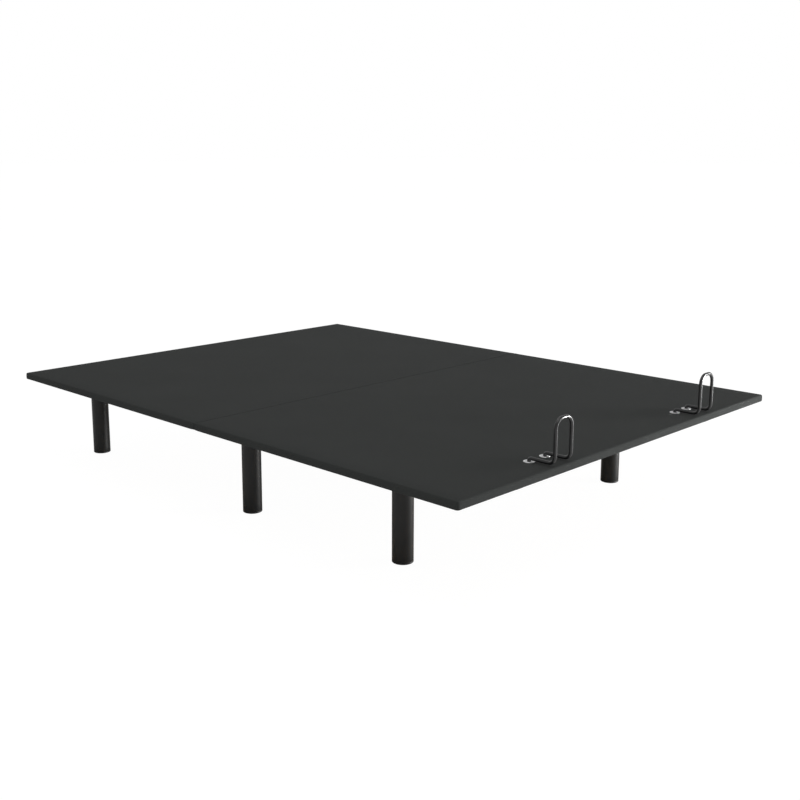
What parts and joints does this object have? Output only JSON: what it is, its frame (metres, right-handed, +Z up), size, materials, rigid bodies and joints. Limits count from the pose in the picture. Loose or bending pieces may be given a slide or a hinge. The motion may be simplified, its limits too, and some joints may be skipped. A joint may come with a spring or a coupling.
{
  "type": "adjustable bed base",
  "caption": "Low adjustable bed base: flat fabric deck on round black legs, whose head and foot sections tilt up, with wire mattress retainers at the foot.",
  "frame": {"origin": "on the floor under the middle of the deck", "axes": "+Y towards the head end, +Z up, +X to the right seen from the foot end"},
  "size_m": [1.511, 2.0225, 0.4548],
  "materials": {
    "frame_black": "satin powder coat",
    "leg_black": "satin paint",
    "moulded_black": "fine spark texture",
    "zinc_plate": "bright zinc plate",
    "socket_zinc": "bright zinc plate",
    "rod_steel": "ground and polished",
    "guide_aluminium": "drawn, clear anodised",
    "deck_fabric": "fine woven polyester",
    "deck_board": "plain plywood",
    "retainer_black": "gloss paint"
  },
  "bodies": {
    "base": {"head_rail_left": "frame_black", "head_rail_right": "frame_black", "foot_rail_left": "frame_black", "foot_rail_right": "frame_black", "head_end_rail": "frame_black", "head_joint_rail": "frame_black", "foot_joint_rail": "frame_black", "foot_end_rail": "frame_black", "head_motor_rail": "frame_black", "foot_motor_rail": "frame_black", "leg_head_left": "leg_black", "leg_head_right": "leg_black", "leg_mid_left": "leg_black", "leg_mid_right": "leg_black", "leg_foot_left": "leg_black", "leg_foot_right": "leg_black", "leg_glides": "moulded_black", "leg_studs": "zinc_plate", "seat_board_head": "deck_board", "seat_board_foot": "deck_board", "seat_cover_head": "deck_fabric", "seat_cover_foot": "deck_fabric", "head_motor_bracket": "frame_black", "foot_motor_bracket": "frame_black", "joint_brackets": "frame_black", "frame_bolts": "zinc_plate", "hinge_brackets": "frame_black", "link_brackets": "frame_black", "motor_pins": "zinc_plate", "control_box": "moulded_black", "power_inlet": "moulded_black"},
    "back": {"back_board": "deck_board", "back_cover": "deck_fabric", "back_side_tubes": "frame_black", "back_cross_tube": "frame_black", "back_lever": "frame_black"},
    "thigh": {"thigh_board": "deck_board", "thigh_cover": "deck_fabric", "thigh_side_tubes": "frame_black", "thigh_cross_tube": "frame_black", "thigh_lever": "frame_black", "knee_pins": "zinc_plate"},
    "calf": {"calf_board": "deck_board", "calf_cover": "deck_fabric", "calf_side_tubes": "frame_black", "calf_link_brackets": "frame_black", "retainer_sockets": "socket_zinc"},
    "foot_link_left": {"foot_link_left": "frame_black"},
    "foot_link_right": {"foot_link_right": "frame_black"},
    "head_actuator": {"head_motor_case": "moulded_black", "head_guide_tube": "guide_aluminium", "head_drive_screw": "zinc_plate"},
    "head_rod": {"head_drive_rod": "rod_steel"},
    "foot_actuator": {"foot_motor_case": "moulded_black", "foot_guide_tube": "guide_aluminium", "foot_drive_screw": "zinc_plate"},
    "foot_rod": {"foot_drive_rod": "rod_steel"},
    "retainer_left": {"retainer_left": "retainer_black"},
    "retainer_right": {"retainer_right": "retainer_black"}
  },
  "joints": [
    {"name": "head_tilt", "type": "hinge", "parent": "base", "child": "back", "pos_m": [0, 0.2225, 0.3028], "axis": [1, 0, 0], "range_deg": [0, 60]},
    {"name": "head_actuator_pivot", "type": "hinge", "parent": "base", "child": "head_actuator", "pos_m": [-0.095, -0.26125, 0.18534], "axis": [1, 0, 0], "range_deg": [0, 2.2]},
    {"name": "head_rod_slide", "type": "slide", "parent": "head_actuator", "child": "head_rod", "axis": [0, 1, 0], "range_m": [0, 0.12353]},
    {"name": "thigh_tilt", "type": "hinge", "parent": "base", "child": "thigh", "pos_m": [0, -0.057, 0.3028], "axis": [-1, 0, 0], "range_deg": [0, 45]},
    {"name": "knee_bend", "type": "hinge", "parent": "thigh", "child": "calf", "pos_m": [0, -0.387, 0.3028], "axis": [-1, 0, 0], "range_deg": [-45, 0]},
    {"name": "foot_link_left_pivot", "type": "hinge", "parent": "base", "child": "foot_link_left", "pos_m": [-0.538, -0.53, 0.266], "axis": [-1, 0, 0], "range_deg": [0, 45]},
    {"name": "foot_link_right_pivot", "type": "hinge", "parent": "base", "child": "foot_link_right", "pos_m": [0.538, -0.53, 0.266], "axis": [-1, 0, 0], "range_deg": [0, 45]},
    {"name": "foot_actuator_pivot", "type": "hinge", "parent": "base", "child": "foot_actuator", "pos_m": [0.095, 0.39489, 0.17828], "axis": [-1, 0, 0], "range_deg": [0, 3.09]},
    {"name": "foot_rod_slide", "type": "slide", "parent": "foot_actuator", "child": "foot_rod", "axis": [0, -1, 0], "range_m": [0, 0.09203]},
    {"name": "retainer_left_lift", "type": "slide", "parent": "calf", "child": "retainer_left", "axis": [0, 0, 1], "range_m": [0, 0.03]},
    {"name": "retainer_right_lift", "type": "slide", "parent": "calf", "child": "retainer_right", "axis": [0, 0, 1], "range_m": [0, 0.03]}
  ],
  "couplings": [
    {"joint": "head_actuator_pivot", "follows": "head_tilt", "ratio": 0.036727},
    {"joint": "head_rod_slide", "follows": "head_tilt", "m_per_rad": 0.11795},
    {"joint": "knee_bend", "follows": "thigh_tilt", "ratio": -1},
    {"joint": "foot_link_left_pivot", "follows": "thigh_tilt", "ratio": 1},
    {"joint": "foot_link_right_pivot", "follows": "thigh_tilt", "ratio": 1},
    {"joint": "foot_actuator_pivot", "follows": "thigh_tilt", "ratio": 0.068754},
    {"joint": "foot_rod_slide", "follows": "thigh_tilt", "m_per_rad": 0.11716}
  ]
}
